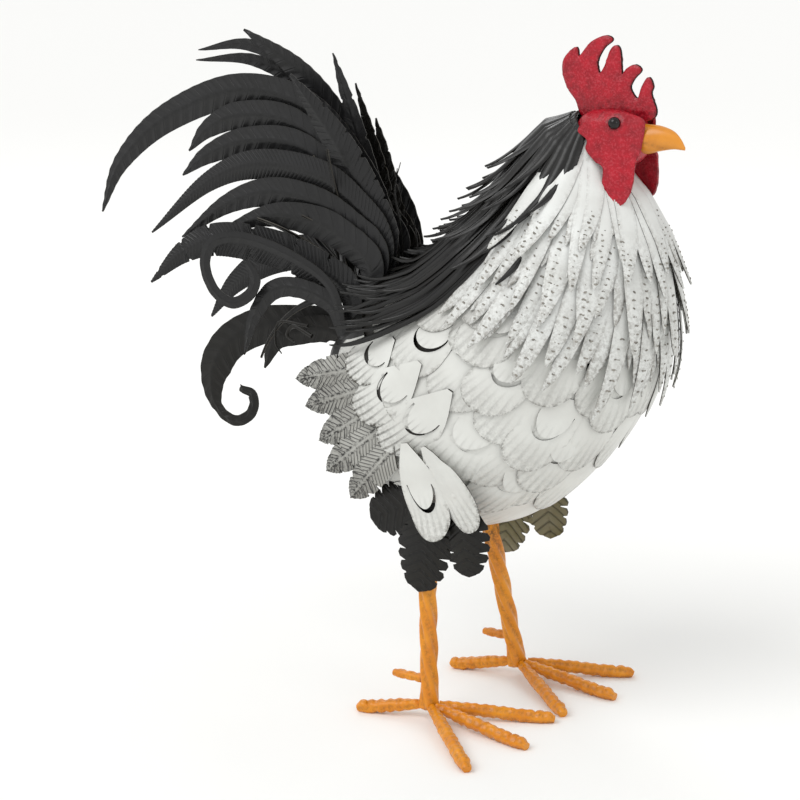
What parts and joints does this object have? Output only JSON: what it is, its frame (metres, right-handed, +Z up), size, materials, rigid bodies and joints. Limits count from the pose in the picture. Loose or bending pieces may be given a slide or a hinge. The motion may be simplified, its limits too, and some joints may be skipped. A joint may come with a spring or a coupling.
{
  "type": "garden rooster sculpture",
  "caption": "Standing garden rooster in painted sheet metal, with layered feather plates, fringed neck collars, a red comb and an arched fan tail.",
  "frame": {"origin": "bottom centre of the whole rooster's box, at the ground between the feet", "axes": "+Z up, +X forward to the beak, +Y the rooster's left"},
  "size_m": [0.6288, 0.2988, 0.6295],
  "materials": {
    "white_enamel": "satin white enamel with a grey-brown wash in the embossed ribs",
    "black_enamel": "satin black enamel",
    "charcoal_enamel": "satin charcoal enamel, a little lighter on the folds",
    "grey_washed_enamel": "grey enamel, dark wash in the stamped ribs",
    "crimson_enamel": "gloss crimson enamel, dimpled",
    "orange_enamel": "satin orange enamel with darker shades",
    "dark_bead": "gloss dark bead"
  },
  "bodies": {
    "root": {"beak": "orange_enamel", "body_shell": "black_enamel", "comb": "crimson_enamel", "eye_left": "dark_bead", "eye_right": "dark_bead", "face_left": "crimson_enamel", "face_right": "crimson_enamel", "hackle_collar_lower": "white_enamel", "hackle_collar_middle": "white_enamel", "hackle_collar_upper": "white_enamel", "head": "black_enamel", "leg_left": "orange_enamel", "leg_right": "orange_enamel", "nape_strands": "black_enamel", "plate_row_1": "white_enamel", "plate_row_2": "white_enamel", "plate_row_3": "white_enamel", "plate_row_4": "white_enamel", "plate_row_5": "white_enamel", "plate_row_6": "white_enamel", "plate_row_7": "white_enamel", "saddle_strands": "black_enamel", "spur_left": "orange_enamel", "spur_right": "orange_enamel", "tail_band_lower": "charcoal_enamel", "tail_blade_oval": "charcoal_enamel", "tail_herringbone": "charcoal_enamel", "tail_herringbone_far": "charcoal_enamel", "tail_hook_curl": "charcoal_enamel", "tail_leaf": "charcoal_enamel", "tail_loop_curl": "charcoal_enamel", "tail_sickle_far": "charcoal_enamel", "tail_sickle_fifth": "charcoal_enamel", "tail_sickle_fourth": "charcoal_enamel", "tail_sickle_long": "charcoal_enamel", "tail_sickle_second": "charcoal_enamel", "tail_sickle_small": "charcoal_enamel", "tail_sickle_third": "charcoal_enamel", "tail_spear_top": "charcoal_enamel", "tail_thin_lower": "charcoal_enamel", "tail_thin_upper": "charcoal_enamel", "tail_upright_front": "charcoal_enamel", "tail_upright_middle": "charcoal_enamel", "tail_upright_rear": "charcoal_enamel", "thigh_leaves_left": "black_enamel", "thigh_leaves_right": "black_enamel", "thigh_plates_left": "white_enamel", "thigh_plates_right": "white_enamel", "toe_back_left": "orange_enamel", "toe_back_right": "orange_enamel", "toe_inner_left": "orange_enamel", "toe_inner_right": "orange_enamel", "toe_middle_left": "orange_enamel", "toe_middle_right": "orange_enamel", "toe_outer_left": "orange_enamel", "toe_outer_right": "orange_enamel", "wing_coverts_left": "white_enamel", "wing_coverts_right": "white_enamel", "wing_flights_left": "grey_washed_enamel", "wing_flights_right": "grey_washed_enamel"}
  },
  "joints": []
}
